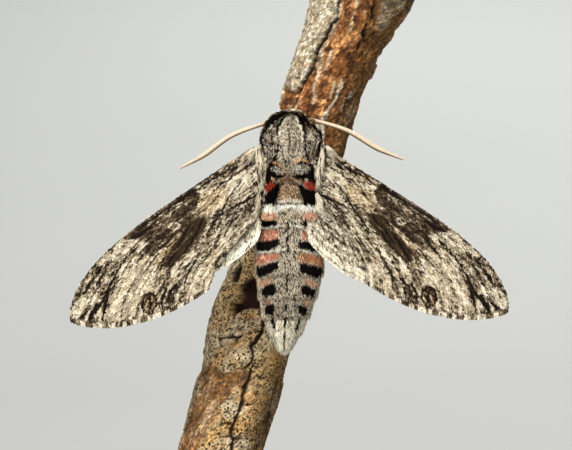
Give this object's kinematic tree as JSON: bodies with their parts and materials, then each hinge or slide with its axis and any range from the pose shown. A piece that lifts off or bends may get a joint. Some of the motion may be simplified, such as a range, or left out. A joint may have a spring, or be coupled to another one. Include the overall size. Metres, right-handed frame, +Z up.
{
  "type": "convolvulus hawk-moth on a branch",
  "caption": "Hawk-moth at rest with half-open wings, head up on a cut length of branch, held over a flat base by a short rod.",
  "frame": {"origin": "centre of the underside of the stand's base", "axes": "+Z up and towards the moth's head, -Y the way its back faces, -X its left wing"},
  "size_m": [0.092, 0.056, 0.1142],
  "materials": {
    "coat": "grey and brown hair scales with pink, white and black bands",
    "wing": "overlapping grey, tan and black-brown scales",
    "eye": "dark faceted dome",
    "feeler": "cream scales over brown rings",
    "leg": "grey scales with darker rings",
    "tongue": "dark brown, ringed",
    "bark": "rough brown and tan bark with grey lichen, sawn ends",
    "base": "dark stained, satin",
    "rod": "satin"
  },
  "bodies": {
    "root": {"head": "coat", "thorax": "coat", "abdomen": "coat", "palp_left": "coat", "palp_right": "coat", "eye_left": "eye", "eye_right": "eye", "antenna_left": "feeler", "antenna_right": "feeler", "proboscis": "tongue", "forewing_left": "wing", "forewing_right": "wing", "hindwing_left": "wing", "hindwing_right": "wing", "foreleg_left": "leg", "foreleg_right": "leg", "midleg_left": "leg", "midleg_right": "leg", "hindleg_left": "leg", "hindleg_right": "leg", "perch_branch": "bark", "stand_rod": "rod", "stand_base": "base"}
  },
  "joints": []
}
